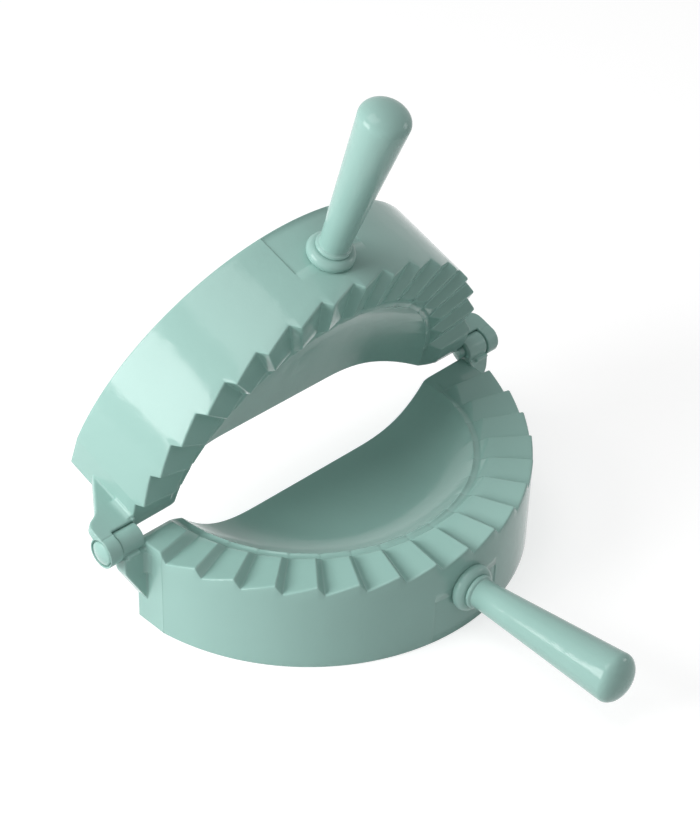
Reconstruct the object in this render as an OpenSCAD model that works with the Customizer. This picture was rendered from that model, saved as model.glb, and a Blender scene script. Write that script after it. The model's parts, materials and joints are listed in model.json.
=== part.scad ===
// Empanada press: two D-shaped halves hinged along their straight side.
// The lower half stands teeth up with its handle to the front (-Y).
// The upper half is the same moulding turned over, standing open on the hinge.
// Each half is drawn in its own frame: X is the hinge axis, the half lies to -Y
// and hangs below Z = 0, which is the plane where the two halves meet.

/* [Body of each half] */
// Radius of the round outer wall
rim_r = 80; // [60:0.5:110]
// Distance by which each flat end face is cut in from the round wall
end_cut = 1.1; // [0.5:0.1:6]
// Depth of a half from the meeting plane to its open edge
half_depth = 35.5; // [28:0.5:50]
// Thickness of the outer walls
wall = 2.4; // [1.6:0.1:4]
// Thickness of the bowl and of the floor under the teeth
skin = 2.3; // [1.6:0.1:4]
// Distance that the straight side keeps from the hinge axis
chord_gap = 0.3; // [0.1:0.05:1]
// Angle between the halves, from parallel to where the upper half stands
open_angle = 71.5; // [10:0.5:150]

/* [Crimping teeth] */
// Number of teeth round the rim
tooth_count = 16; // [8:1:24]
// Part of the circle that the teeth fill
tooth_arc = 160; // [120:1:160]
// Height of a tooth
tooth_h = 3.6; // [1.5:0.1:5]
// Width of a tooth's steep side, measured at the outer wall
tooth_drop_w = 2.4; // [1:0.1:4]
// Width of the toothed rim, from the outer wall to the bowl
crimp_w = 15; // [8:0.5:22]
// Depth of the far end land at the straight side
land_back_h = 2.6; // [2.4:0.1:4]
// Length of the rounding on the near end land, at the straight side
land_round_w = 4; // [1:0.5:8]
// Drop of that rounding at the straight side
land_round_h = 1.35; // [0.5:0.05:3]

/* [Bowl] */
// Depth of the bowl below the meeting plane
bowl_depth = 16.8; // [10:0.2:24]
// Radius of the flat bottom of the bowl
bowl_flat_r = 22; // [5:1:40]
// Distance from the ridge that rings the bowl to the foot of the teeth
ridge_gap = 2.4; // [2:0.1:8]
// Depth of the ridge below the meeting plane
ridge_z = 3.2; // [1:0.1:6]
// Width of the groove between the teeth and the ridge
groove_w = 1.6; // [0.5:0.1:4]
// Depth of the groove below the ridge
groove_h = 0.5; // [0.1:0.1:1.5]

/* [Handles] */
// Length of a handle, from the outer wall to its tip
handle_l = 69.3; // [40:0.5:120]
// Diameter of the handle where it would meet the wall
handle_foot_d = 9.6; // [6:0.1:16]
// Diameter of the handle at the widest place of its grip
handle_end_d = 17.8; // [12:0.1:30]
// Length of the rounded end of the grip
handle_round_l = 5.2; // [3:0.1:12]
// Depth of the handle's root below the meeting plane
handle_drop = 17.3; // [13:0.1:25]
// Angle at which the handle leans towards the meeting plane
handle_tilt = 2; // [0:0.25:6]
// Diameter of the bead round the foot of the handle
bead_d = 12.4; // [10.5:0.1:18]
// Thickness of that bead
bead_t = 1.8; // [0.8:0.1:3]
// Diameter of the spigot that plugs into the collar
spigot_d = 7; // [5:0.1:8.5]
// Length of the spigot
spigot_l = 3.6; // [1.5:0.1:5]

/* [Collars and pads on the outer wall] */
// Outer diameter of the collar that holds the handle
collar_d = 17.2; // [15:0.2:26]
// Thickness of the rounded ring of the collar
collar_t = 5; // [3:0.1:6]
// Half width of the sunk pad below the collar
pad_half_w = 15; // [8:0.5:20]
// Depth of the sunk pad
pad_sink = 0.35; // [0.1:0.05:0.8]
// Diameter of the flat seat for the screw, inside the wall
seat_d = 11; // [9:0.5:16]
// Height of that seat at the wall
seat_h = 1.6; // [1:0.1:4]

/* [Handle screws] */
// Diameter of the thread
screw_d = 3.5; // [2.5:0.1:4.5]
// Length of the screw under its head
screw_l = 22; // [14:0.5:30]
// Diameter of the head
screw_head_d = 7; // [5.5:0.1:8.5]
// Height of the head
screw_head_h = 2.4; // [1.5:0.1:3.5]
// Width of each arm of the cross recess
screw_cross_w = 1; // [0.5:0.1:1.5]
// Length of each arm of the cross recess
screw_cross_l = 4.2; // [2:0.1:5]
// Depth of the cross recess
screw_cross_h = 1.3; // [0.5:0.1:2]

/* [Hinge] */
// Diameter of the lower half's knuckles
lower_knuckle_d = 9.8; // [8:0.1:10.2]
// Diameter of the upper half's knuckles
upper_knuckle_d = 11; // [10.6:0.1:14]
// Length of the lower half's knuckle
lower_knuckle_l = 9.1; // [5:0.1:14]
// Length of the upper half's knuckle
upper_knuckle_l = 5.3; // [4:0.1:10]
// Free play between the two knuckles
knuckle_play = 0.3; // [0.1:0.05:0.8]
// Diameter of the pin
pin_d = 4.4; // [3:0.1:6]
// Diameter of the pin's head
pin_head_d = 8.8; // [7:0.1:9]
// Thickness of the rim of the head
pin_head_h = 0.9; // [0.5:0.1:3]
// Height of the dome on the head
pin_dome_h = 1.2; // [0.3:0.1:1.5]
// Depth of the recess for the head
pin_recess_h = 1.2; // [0.5:0.1:2.5]
// Length of the right pin that shows between the halves
pin_tail_l = 2.2; // [1:0.1:6]
// Thickness of the upper half's hinge web
upper_web_t = 3.2; // [2:0.1:4]
// Height at which the upper web's brace meets the end face
upper_web_h = 24.5; // [16:0.5:27]
// Height of the brace where it reaches the lower knuckle's far end
upper_brace_h = 11; // [9.5:0.1:14]
// Height of the outer corner of the upper web
upper_ear_h = 9; // [6:0.1:9.4]
// Height of the upper web's lower edge over the lower knuckle
upper_web_foot = 2.8; // [2:0.1:3.5]
// Thickness of the lower half's hinge web
lower_web_t = 5.2; // [2:0.1:5.2]
// Depth at which the lower web meets the end face
lower_web_h = 25; // [16:0.5:27]
// Depth of the lower web at its outer edge
lower_web_edge_h = 9; // [6:0.1:12]
// Diameter of the small rib along the lower web's top
rib_d = 1.6; // [1:0.1:2.4]
// Length of that rib
rib_l = 5.8; // [3:0.1:7]
// Height of the corner blocks where the webs meet the end faces
block_h = 8.6; // [4:0.1:12]
// Height of a block's foot from the meeting plane
block_foot = 3.8; // [3.7:0.1:5]
// Width of the upper corner block along the web
upper_block_w = 3.2; // [1:0.1:5]
// Width of the upper corner block along the end face
upper_block_t = 1.8; // [1:0.1:5]
// Width of the lower corner block along the web
lower_block_w = 1.6; // [1:0.1:5]
// Width of the lower corner block along the end face
lower_block_t = 3; // [1:0.1:5]

/* [Fits] */
// Gap all round a turning pin
pin_play = 0.08; // [0.03:0.01:0.2]
// Gap all round a plugged or pressed piece
seat_play = 0.04; // [0.02:0.01:0.1]
// Gap all round the pin's head
head_play = 0.5; // [0.2:0.05:0.8]
// Gap between a piece that swings and what it passes
pass_play = 0.35; // [0.2:0.05:0.6]

/* [Hidden] */

// Colours of the plastic and of the screws
mint = [0.66, 0.80, 0.76];
steel = [0.72, 0.73, 0.75];

// Overrun of a cut past the face that it opens
over = 1;
// Number of points along a curved outline
arc_points = 14;
// Power of the curve of the bowl's side: higher gives a flatter bottom
bowl_power = 3;

// Angles of the crimp, counted from the -X end of the hinge axis
tooth_pitch = tooth_arc / tooth_count;
first_step = (180 - tooth_arc) / 2;
drop_half_a = asin(tooth_drop_w / 2 / rim_r);
ramp_w = rim_r * tan(tooth_pitch - 2 * drop_half_a);
bowl_r = rim_r - crimp_w;
foot_r = bowl_r - tooth_h;
ridge_r = foot_r - ridge_gap;

// Places along the hinge axis, for the side at +X
end_x = rim_r - end_cut;
lower_knuckle_end = end_x + lower_knuckle_l;
upper_knuckle_start = lower_knuckle_end + knuckle_play;
upper_knuckle_end = upper_knuckle_start + upper_knuckle_l;
recess_floor = upper_knuckle_end - pin_recess_h;
head_seat = recess_floor + pin_play;
web_face = upper_knuckle_d / 2;

// Root of a hinge web inside the end wall: its place along the axis, and its
// distance from the meeting plane, which keeps it under the teeth
web_root_x = end_x - wall / 2;
web_root_h = tooth_h + skin;

// Places along the handle, from the outer wall outwards
collar_top = collar_t - collar_t / 5;
socket_floor = collar_top - spigot_l - seat_play;
grip_l = handle_l - handle_round_l;

// Place of the whole press: centred on its box, with its foot on Z = 0
front_y = rim_r + handle_l * cos(handle_tilt);
back_y = half_depth * sin(open_angle) - chord_gap * cos(open_angle);
frame_y = (front_y - back_y) / 2;

// Frame of the lower half
module as_lower() {
    translate([0, frame_y, half_depth]) children();
}

// Frame of the upper half, swung open on the hinge
module as_upper() {
    translate([0, frame_y, half_depth]) rotate([-open_angle, 0, 0]) children();
}

// The upper half's moulding is the lower half's, turned over
module turned_over() {
    rotate([0, 180, 0]) children();
}

// A cylinder along +X that starts at the given place
module bar_x(d, from, to, sides = 96) {
    translate([from, 0, 0]) rotate([0, 90, 0]) cylinder(d = d, h = to - from, $fn = sides);
}

// Frame whose +Z runs out along the handle, from the outer wall
module along_handle() {
    translate([0, -rim_r, -handle_drop]) rotate([90 - handle_tilt, 0, 0]) children();
}

// Plan of a half, drawn in by a distance on every side
module plan(inset) {
    intersection() {
        circle(r = rim_r - inset, $fn = 180);
        translate([-end_x + inset, -rim_r])
            square([2 * (end_x - inset), rim_r - chord_gap - inset]);
    }
}

// Depth of the bowl's side at a radius
function bowl_z(r) =
    -ridge_z - (bowl_depth - ridge_z) * (1 - pow((r - bowl_flat_r) / (ridge_r - bowl_flat_r), bowl_power));

// Outline of the bowl's side from its flat bottom to the ridge
function bowl_side(grow) = [
    for (i = [0 : arc_points])
        let (r = bowl_flat_r + (ridge_r - bowl_flat_r) * i / arc_points)
        [r + grow * i / arc_points, bowl_z(r) - grow]
];

// Hollow of the bowl, with the ridge and the groove at the foot of the teeth
module bowl_cut() {
    rotate_extrude($fn = 180)
        polygon(concat(
            [[0, over], [0, -bowl_depth]],
            bowl_side(0),
            [
                [ridge_r + groove_w / 2, -ridge_z - groove_h],
                [foot_r, -ridge_z - groove_h],
                [bowl_r, 0],
                [bowl_r, over]
            ]));
}

// Solid under the bowl that leaves the floor its thickness
module bowl_underside() {
    rotate_extrude($fn = 180)
        polygon(concat(
            [[0, 0], [0, -bowl_depth - skin]],
            bowl_side(skin),
            [[bowl_r + skin, -tooth_h - skin], [bowl_r + skin, 0]]));
}

// Wedge between one tooth's steep side and the next tooth's tip
module tooth_gap() {
    rise = (tooth_h + over) / tooth_h;
    translate([bowl_r - crimp_w, 0, 0])
        rotate([90, 0, 90])
            linear_extrude(2 * crimp_w + over)
                polygon([[-tooth_drop_w * rise, over], [0, -tooth_h], [ramp_w * rise, over]]);
}

// All the gaps between the teeth
module tooth_gaps() {
    for (i = [0 : tooth_count - 1])
        rotate([0, 0, 180 + first_step + drop_half_a + i * tooth_pitch]) tooth_gap();
}

// Low land behind the last tooth, at +X
module far_land_cut() {
    foot_a = first_step - drop_half_a;
    rise = (tooth_h + over) / tooth_h;
    slope = (tooth_h - land_back_h) / (rim_r * sin(foot_a));
    rotate([0, 0, -foot_a])
        translate([bowl_r - crimp_w, 0, 0])
            rotate([90, 0, 90])
                linear_extrude(2 * crimp_w + over)
                    polygon([
                        [-tooth_drop_w * rise, over],
                        [0, -tooth_h],
                        [2 * crimp_w, 2 * crimp_w * slope - tooth_h],
                        [2 * crimp_w, over]
                    ]);
}

// Rounding of the high land at -X, where it meets the straight side
module near_land_cut() {
    round_r = (land_round_w * land_round_w + land_round_h * land_round_h) / (2 * land_round_h);
    difference() {
        translate([-end_x - over, -land_round_w, -land_round_h - over])
            cube([end_x - bowl_r + crimp_w, land_round_w + over, land_round_h + 2 * over]);
        translate([0, -land_round_w, -round_r])
            bar_x(2 * round_r, -end_x - 2 * over, -bowl_r + crimp_w + over);
    }
}

// Collar for the handle, and the seat for its screw inside the wall
module handle_mount() {
    along_handle() {
        translate([0, 0, collar_top - collar_t / 2])
            rotate_extrude($fn = 96)
                translate([collar_d / 2 - collar_t / 2, 0]) circle(d = collar_t, $fn = 48);
        translate([0, 0, -wall])
            cylinder(d = collar_d - collar_t, h = wall + collar_top - bead_t / 2, $fn = 96);
        translate([0, 0, -wall - seat_h]) cylinder(d = seat_d, h = wall + seat_h, $fn = 96);
    }
}

// Socket and screw hole of the handle mount
module handle_bores() {
    along_handle() {
        translate([0, 0, socket_floor])
            cylinder(d = spigot_d + 2 * seat_play, h = spigot_l + collar_t, $fn = 96);
        translate([0, 0, -wall - seat_h - over])
            cylinder(d = screw_d + 2 * pin_play, h = 2 * over + wall + seat_h + socket_floor, $fn = 48);
    }
}

// Sunk pad on the outer wall, from the open edge up to the handle's axis
module pad_cut() {
    difference() {
        translate([-pad_half_w, -rim_r - over, -half_depth - over])
            cube([2 * pad_half_w, crimp_w, half_depth + over - handle_drop]);
        translate([0, 0, -half_depth - 2 * over])
            cylinder(r = rim_r - pad_sink, h = half_depth + 3 * over, $fn = 180);
    }
}

// Moulding that both halves share, without the hinge
module half_shell() {
    difference() {
        union() {
            difference() {
                translate([0, 0, -half_depth]) linear_extrude(half_depth) plan(0);
                pad_cut();
                difference() {
                    translate([0, 0, -half_depth - over])
                        linear_extrude(half_depth + over - tooth_h - skin) plan(wall);
                    bowl_underside();
                }
            }
            intersection() {
                handle_mount();
                translate([-rim_r, -2 * rim_r, -half_depth])
                    cube([2 * rim_r, 2 * rim_r, half_depth - tooth_h]);
            }
        }
        bowl_cut();
        tooth_gaps();
        far_land_cut();
        near_land_cut();
        handle_bores();
    }
}

// Hinge web for the side at +X: an outline of places along the axis and heights
module web(thickness, outline) {
    translate([0, thickness - web_face, 0])
        rotate([90, 0, 0]) linear_extrude(thickness) polygon(outline);
}

// Block in the corner between a web and the end face, above the meeting plane
module corner_block(width, depth) {
    translate([0, 0, block_foot])
        linear_extrude(block_h)
            polygon([
                [end_x, -web_face],
                [end_x, -web_face - depth],
                [end_x + width, -web_face]
            ]);
}

// Knuckle, web, rib and corner block of the lower half, for the side at +X
module lower_hinge() {
    web_top = lower_knuckle_d / 4;
    difference() {
        union() {
            bar_x(lower_knuckle_d, end_x, lower_knuckle_end);
            web(lower_web_t, [
                [end_x, -web_top],
                [lower_knuckle_end, -web_top],
                [lower_knuckle_end, -lower_web_edge_h],
                [end_x, -lower_web_h],
                [web_root_x, -lower_web_h],
                [web_root_x, -web_root_h],
                [end_x, -web_root_h]
            ]);
            mirror([0, 0, 1]) corner_block(lower_block_w, lower_block_t);
            translate([0, -web_face, -web_top])
                bar_x(rib_d, lower_knuckle_end - rib_d / 2 - rib_l, lower_knuckle_end - rib_d / 2, 48);
        }
        bar_x(pin_d + 2 * seat_play, end_x - over, lower_knuckle_end + over);
    }
}

// Knuckle, web and corner block of the upper half, for the side at +X
module upper_hinge() {
    difference() {
        union() {
            bar_x(upper_knuckle_d, upper_knuckle_start, upper_knuckle_end);
            web(upper_web_t, [
                [end_x, upper_web_foot],
                [upper_knuckle_start, upper_web_foot],
                [upper_knuckle_start, 0],
                [upper_knuckle_end, 0],
                [upper_knuckle_end, upper_ear_h],
                [upper_knuckle_start, upper_brace_h],
                [end_x, upper_web_h],
                [web_root_x, upper_web_h],
                [web_root_x, web_root_h],
                [end_x, web_root_h]
            ]);
            corner_block(upper_block_w, upper_block_t);
        }
        bar_x(lower_knuckle_d + 2 * pass_play, end_x - over, upper_knuckle_start);
        bar_x(pin_d + 2 * pin_play, end_x, upper_knuckle_end + over);
        bar_x(pin_head_d + 2 * head_play, recess_floor, upper_knuckle_end + over);
    }
}

// A handle with its bead and spigot, along +Z from the outer wall
module handle_body() {
    foot_r = handle_foot_d / 2;
    end_r = handle_end_d / 2;
    slope = (end_r - foot_r) / grip_l;
    difference() {
        union() {
            rotate_extrude($fn = 96)
                polygon(concat(
                    [[0, collar_top], [foot_r + slope * collar_top, collar_top]],
                    [
                        for (i = [0 : arc_points])
                            [end_r * cos(90 * i / arc_points),
                             grip_l + handle_round_l * sin(90 * i / arc_points)]
                    ]));
            translate([0, 0, collar_top + bead_t / 2])
                rotate_extrude($fn = 96)
                    translate([(bead_d - bead_t) / 2, 0]) circle(d = bead_t, $fn = 32);
            translate([0, 0, socket_floor + seat_play]) cylinder(d = spigot_d, h = spigot_l, $fn = 96);
        }
        translate([0, 0, socket_floor])
            cylinder(d = screw_d + 2 * seat_play, h = screw_l - wall - seat_h, $fn = 48);
    }
}

// A pan head screw, along +Z from the inside of the seat
module screw_body() {
    seat_z = -wall - seat_h;
    difference() {
        union() {
            translate([0, 0, seat_z - screw_head_h])
                cylinder(d = screw_head_d, h = screw_head_h, $fn = 64);
            translate([0, 0, seat_z]) cylinder(d = screw_d, h = screw_l - screw_d, $fn = 48);
            translate([0, 0, seat_z + screw_l - screw_d])
                cylinder(d1 = screw_d, d2 = screw_cross_w, h = screw_d, $fn = 48);
        }
        translate([0, 0, seat_z - screw_head_h + (screw_cross_h - over) / 2])
            for (turn = [0, 90])
                rotate([0, 0, turn])
                    cube([screw_cross_l, screw_cross_w, screw_cross_h + over], center = true);
    }
}

// Profile of a pin with a low domed head, from its inner end outwards
function pin_outline(inner_end, head_top) = concat(
    [
        [0, inner_end],
        [pin_d / 2, inner_end],
        [pin_d / 2, head_seat],
        [pin_head_d / 2, head_seat]
    ],
    [
        for (i = [0 : arc_points])
            [pin_head_d / 2 * (1 - i / arc_points),
             head_top + pin_dome_h * (1 - pow(1 - i / arc_points, 2))]
    ]);

// A hinge pin along the hinge axis, for the side at +X
module hinge_pin(inner_end) {
    rotate([0, 90, 0])
        rotate_extrude($fn = 96) polygon(pin_outline(inner_end, head_seat + pin_head_h));
}

module lower_shell() {
    color(mint) as_lower() {
        half_shell();
        for (side = [0, 1]) mirror([side, 0, 0]) lower_hinge();
    }
}

module upper_shell() {
    color(mint) as_upper() {
        difference() {
            turned_over() half_shell();
            bar_x(pin_d + 2 * pass_play, end_x - pin_tail_l - over, end_x + over);
        }
        for (side = [0, 1]) mirror([side, 0, 0]) upper_hinge();
    }
}

module lower_handle() {
    color(mint) as_lower() along_handle() handle_body();
}

module upper_handle() {
    color(mint) as_upper() turned_over() along_handle() handle_body();
}

module lower_handle_screw() {
    color(steel) as_lower() along_handle() screw_body();
}

module upper_handle_screw() {
    color(steel) as_upper() turned_over() along_handle() screw_body();
}

module left_hinge_pin() {
    color(mint) as_lower() mirror([1, 0, 0]) hinge_pin(end_x + seat_play);
}

module right_hinge_pin() {
    color(mint) as_lower() hinge_pin(end_x - pin_tail_l);
}

lower_shell();
upper_shell();
lower_handle();
upper_handle();
lower_handle_screw();
upper_handle_screw();
left_hinge_pin();
right_hinge_pin();
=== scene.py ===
"""Looks of the empanada press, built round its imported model.

Each half of the press is drawn in its own frame, in millimetres: X is the hinge
axis, the half lies to -Y and hangs below Z = 0, where the two halves meet. A
placement matrix then puts it, in metres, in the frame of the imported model.
"""
import json
import logging
import math
from collections.abc import Callable, Iterable
from dataclasses import dataclass, field, replace
from enum import Enum

import bmesh
import bpy
from mathutils import Matrix, Vector


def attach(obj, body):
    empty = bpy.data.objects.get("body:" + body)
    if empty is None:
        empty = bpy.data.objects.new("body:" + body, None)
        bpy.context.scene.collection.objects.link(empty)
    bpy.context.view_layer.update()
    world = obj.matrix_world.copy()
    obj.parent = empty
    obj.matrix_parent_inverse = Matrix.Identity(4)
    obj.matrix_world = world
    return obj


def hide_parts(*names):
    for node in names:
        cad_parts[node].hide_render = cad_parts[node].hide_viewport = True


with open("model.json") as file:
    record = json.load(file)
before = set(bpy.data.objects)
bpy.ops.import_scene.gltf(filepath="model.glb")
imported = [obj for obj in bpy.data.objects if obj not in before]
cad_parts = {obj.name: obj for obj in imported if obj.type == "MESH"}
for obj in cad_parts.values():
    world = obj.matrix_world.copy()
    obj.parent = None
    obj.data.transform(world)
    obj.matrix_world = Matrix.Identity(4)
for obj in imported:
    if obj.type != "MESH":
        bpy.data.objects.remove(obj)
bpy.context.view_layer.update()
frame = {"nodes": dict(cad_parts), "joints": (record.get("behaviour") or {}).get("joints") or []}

MM = 0.001
ROUND_STEPS = 96
HALVINGS = 40
WELD = 0.001
DIGITS = 5
LOG = logging.getLogger("press")

Mesh = bmesh.types.BMesh
Material = bpy.types.Material
Tree = bpy.types.NodeTree
Point = tuple[float, float]
Spot = tuple[float, float, float]
OUTWARD: Point = (1.0, 0.0)


class Side(Enum):
    """The two ends of the hinge, by the sign of their X in a half's own frame."""

    LEFT = -1
    RIGHT = 1

    def matrix(self) -> Matrix:
        """Return the matrix that puts a piece drawn at +X on this side."""
        return Matrix.Scale(self.value, 4, (1, 0, 0))


class Half(Enum):
    """The two halves of the press, by the name of the body that each rides on."""

    LOWER = "lower_half"
    UPPER = "upper_half"

    @property
    def word(self) -> str:
        """The word that starts the names of this half's pieces."""
        return self.value.split("_")[0]


def smooth_min(a: float, b: float, reach: float) -> float:
    """Return the lower of two heights, rounded off where they cross.

    Args:
        a: First height.
        b: Second height.
        reach: Difference of the heights at which the rounding starts.

    Returns:
        The rounded height.
    """
    spread = max(reach - abs(a - b), 0.0) / reach
    return min(a, b) - spread * spread * reach / 4


def smooth_max(a: float, b: float, reach: float) -> float:
    """Return the higher of two heights, rounded off where they cross."""
    return -smooth_min(-a, -b, reach)


def mix(a: float, b: float, share: float) -> float:
    """Return the value that lies at a share of the way from a to b."""
    return a + (b - a) * share


def spaced(start: float, end: float, shares: Iterable[float]) -> list[float]:
    """Return the values that lie at shares of the way from start to end."""
    return [mix(start, end, share) for share in shares]


def even(steps: int) -> list[float]:
    """Return the shares at which a number of even steps end."""
    return [i / steps for i in range(1, steps + 1)]


def quarter(steps: int) -> list[Point]:
    """Return the sines and cosines of a quarter turn's even steps."""
    turns = [math.pi / 2 * i / steps for i in range(steps + 1)]
    return [(math.sin(turn), math.cos(turn)) for turn in turns]


def last_place(low: float, high: float, holds: Callable[[float], bool]) -> float:
    """Find where a test stops holding, by halving.

    Args:
        low: A place where the test holds.
        high: A place where it doesn't.
        holds: The test of a place.

    Returns:
        The last place that was found to hold.
    """
    for _ in range(HALVINGS):
        middle = (low + high) / 2
        low, high = (middle, high) if holds(middle) else (low, middle)
    return low


def hinge_pivot() -> Vector:
    """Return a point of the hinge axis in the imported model's frame, in metres."""
    joint = next(j for j in frame["joints"] if j["name"] == "hinge")
    return Vector(joint["pos_m"])


@dataclass(frozen=True)
class Placement:
    """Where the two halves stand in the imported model's frame."""

    open_angle: float = 71.5

    def matrix(self, half: Half) -> Matrix:
        """Place a half's hinge frame.

        Args:
            half: The half of the press.

        Returns:
            The matrix from that frame, in millimetres, to the model's, in metres.
        """
        turn = Matrix.Identity(4)
        if half is Half.UPPER:
            turn = Matrix.Rotation(math.radians(-self.open_angle), 4, "X")
        return Matrix.Translation(hinge_pivot()) @ turn @ Matrix.Scale(MM, 4)

    def moulding(self, half: Half) -> Matrix:
        """Place a half's moulding, which the upper half has turned over.

        Args:
            half: The half of the press.

        Returns:
            The matrix from the moulding's frame to the model's.
        """
        turn = Matrix.Identity(4)
        if half is Half.UPPER:
            turn = Matrix.Rotation(math.pi, 4, "Y")
        return self.matrix(half) @ turn


@dataclass(frozen=True)
class BodySizes:
    """Driving sizes of the moulding that both halves share, in millimetres."""

    rim_r: float = 80.0
    end_x: float = 78.9
    depth: float = 35.5
    wall: float = 2.4
    skin: float = 2.3
    chord_gap: float = 0.3
    crimp_w: float = 15.0
    tooth_h: float = 3.6
    tooth_drop_w: float = 2.4
    tooth_count: int = 16
    tooth_arc: float = 160.0
    land_back_h: float = 2.6
    land_round_w: float = 4.0
    land_round_h: float = 1.35
    bowl_depth: float = 16.8
    bowl_flat_r: float = 22.0
    bowl_power: float = 3.0
    ridge_gap: float = 2.4
    ridge_z: float = 3.2
    groove_w: float = 1.6
    groove_h: float = 0.5
    fill_slope: float = 0.4
    fill_w: float = 1.5
    fill_fall: float = 0.3
    bead: float = 0.13
    bead_w: float = 0.3
    pad_half_w: float = 15.0
    pad_sink: float = 0.35
    handle_drop: float = 17.3
    handle_tilt: float = 2.0

    @property
    def bowl_r(self) -> float:
        """Radius at which the teeth begin."""
        return self.rim_r - self.crimp_w

    @property
    def foot_r(self) -> float:
        """Radius of the foot of the teeth's inner ends."""
        return self.bowl_r - self.tooth_h

    @property
    def ridge_r(self) -> float:
        """Radius of the ridge that rings the bowl."""
        return self.foot_r - self.ridge_gap

    @property
    def groove_r(self) -> float:
        """Radius of the bottom of the groove outside the ridge."""
        return self.ridge_r + self.groove_w / 2

    @property
    def ceiling(self) -> float:
        """Height of the floor's underside below the teeth."""
        return -(self.tooth_h + self.skin)


@dataclass(frozen=True)
class Softness:
    """Radii and reaches of the moulding's rounded edges, in millimetres."""

    rim: float = 0.65
    crest: float = 0.55
    valley: float = 0.42
    tooth_end: float = 0.7
    ridge: float = 0.28
    groove: float = 0.18
    chord: float = 0.5
    foot: float = 0.5
    inside: float = 1.2


@dataclass(frozen=True)
class Spacing:
    """Where the lines of the moulding's mesh lie.

    Shares are of the stretch or size in their name, divisors are of the depth at
    which the handle's pad begins, steps are counts, and spacers are angles in
    degrees with insets. Insets and all other values are in millimetres.
    """

    middle_r: float = 16.0
    band: float = 0.1
    column_step: float = 0.05
    spacers: tuple[Point, ...] = ((1.4, 0.85), (3.4, 1.25), (5.6, 1.65))
    edge_offsets: tuple[float, ...] = (-0.5, -0.25, 0.0, 0.25, 0.5)
    bead_shares: tuple[float, ...] = (-1.0, -0.5, 0.0, 0.5, 1.0)
    far_bead_shares: tuple[float, ...] = (2.0, 3.0)
    slope_shares: tuple[float, ...] = (0.25, 0.5, 0.75)
    far_land_share: float = 0.6
    skirt_shares: tuple[float, ...] = (0.0, 0.15, 0.4, 0.65, 0.9)
    wall_divisors: tuple[float, ...] = (1.3, 1.8)
    half_shares: tuple[float, ...] = (0.5, 1.0)
    crimp_shares: tuple[float, ...] = (0.06, 0.3, 0.55, 0.8, 1.0)
    foot_shares: tuple[float, ...] = (0.3, 0.6, 0.85, 1.0)
    groove_shares: tuple[float, ...] = (0.2, 0.8, 1.0, 1.15)
    ridge_shares: tuple[float, ...] = (0.5, 0.2, -0.1, -0.4, -0.8, -1.6)
    hollow_shares: tuple[float, ...] = (0.0, 0.12, 0.4, 0.7, 0.94, 1.0)
    arc_steps: int = 4
    bowl_steps: int = 13
    under_steps: int = 18


@dataclass(frozen=True)
class Crimp:
    """The ring of saw teeth, as a height over each point of the rim.

    Angles are in radians from the -X end of the hinge axis, through the front.
    """

    size: BodySizes
    soft: Softness

    @property
    def pitch(self) -> float:
        """Angle from one tooth to the next."""
        return math.radians(self.size.tooth_arc / self.size.tooth_count)

    @property
    def half_drop(self) -> float:
        """Half of the angle that a steep side takes at the outer wall."""
        return math.asin(self.size.tooth_drop_w / 2 / self.size.rim_r)

    @property
    def ramp_w(self) -> float:
        """Width of a tooth's long slope at the outer wall."""
        return self.size.rim_r * math.tan(self.pitch - 2 * self.half_drop)

    def valleys(self) -> list[float]:
        """Return the angles of the valleys between the teeth."""
        first = math.radians((180 - self.size.tooth_arc) / 2) + self.half_drop
        return [first + self.pitch * i for i in range(self.size.tooth_count + 1)]

    def crest_angle(self) -> float:
        """Return the angle from a valley on to the crest of its long slope."""
        drop_w = self.size.tooth_drop_w
        return last_place(
            0.0, self.pitch, lambda a: math.sin(a) / self.ramp_w < math.sin(self.pitch - a) / drop_w
        )

    def groove(self, index: int, radius: float, angle: float) -> float:
        """Return the height of the rounded V round one valley.

        Args:
            index: Number of the valley.
            radius: Distance from the middle of the press.
            angle: Angle of the point.

        Returns:
            The height from the meeting plane, which may be above it.
        """
        size = self.size
        along = radius * math.sin(angle - self.valleys()[index])
        slope = size.tooth_h / self.ramp_w
        if index == size.tooth_count:
            run = size.rim_r * math.sin(math.pi - self.valleys()[index])
            slope = (size.tooth_h - size.land_back_h) / run
        rise = slope * along - size.tooth_h
        drop = -along * size.tooth_h / size.tooth_drop_w - size.tooth_h
        return smooth_max(rise, drop, self.soft.valley)

    def land(self, radius: float, angle: float) -> float:
        """Return the height of the high land at the -X end.

        Args:
            radius: Distance from the middle of the press.
            angle: Angle of the point.

        Returns:
            The height, which falls off in an arc towards the straight side.
        """
        size = self.size
        past = max(size.land_round_w - radius * math.sin(angle), 0.0)
        round_r = (size.land_round_w**2 + size.land_round_h**2) / (2 * size.land_round_h)
        return math.sqrt(max(round_r**2 - past**2, 0.0)) - round_r

    def height(self, radius: float, angle: float) -> float:
        """Return the height of the teeth or lands at a point of the rim.

        Args:
            radius: Distance from the middle of the press.
            angle: Angle of the point.

        Returns:
            The height from the meeting plane.
        """
        last = self.size.tooth_count
        before = math.floor((angle - self.valleys()[0]) / self.pitch)
        if before < 0:
            return smooth_min(self.land(radius, angle), self.groove(0, radius, angle), self.soft.crest)
        if before >= last:
            return self.groove(last, radius, angle)
        here, after = (self.groove(before + i, radius, angle) for i in (0, 1))
        return min(smooth_min(here, after, self.soft.crest), 0.0)


@dataclass(frozen=True)
class Column:
    """One line of the moulding's mesh, from the outer wall in to the middle."""

    angle: float
    shift: float = 0.0
    inset: float = 0.0
    sink: float = 0.0

    def angle_at(self, radius: float, foot_r: float) -> float:
        """Return the line's angle at a radius: it keeps its shift from a ray."""
        return self.angle + math.asin(self.shift / max(radius, foot_r))


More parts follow.
